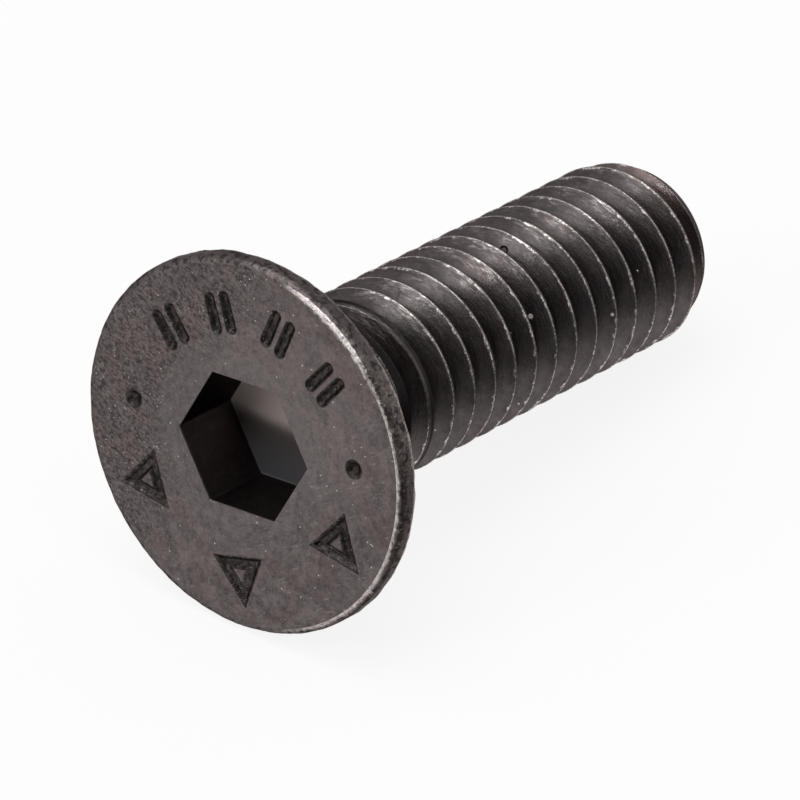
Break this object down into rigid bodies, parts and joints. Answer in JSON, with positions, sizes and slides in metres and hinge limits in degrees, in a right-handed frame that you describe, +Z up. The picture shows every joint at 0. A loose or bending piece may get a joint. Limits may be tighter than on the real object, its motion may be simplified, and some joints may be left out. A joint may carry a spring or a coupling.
{
  "type": "countersunk socket screw",
  "caption": "Metric M6 countersunk machine screw with a hexagon socket and a right-hand coarse thread along its whole shank; it fastens flush with a surface.",
  "frame": {"origin": "on the floor, under the middle of the screw's box as it lies", "axes": "+Z up from the floor; the screw points along +X, its head at -X, its axis dipping 8.9 degrees towards the tip because it lies on its rim and its last full thread crest"},
  "size_m": [0.021, 0.0114, 0.0113],
  "materials": {
    "steel": "black oxide on alloy steel, satin, with worn bright edges"
  },
  "bodies": {
    "root": {"screw": "steel"}
  },
  "joints": []
}
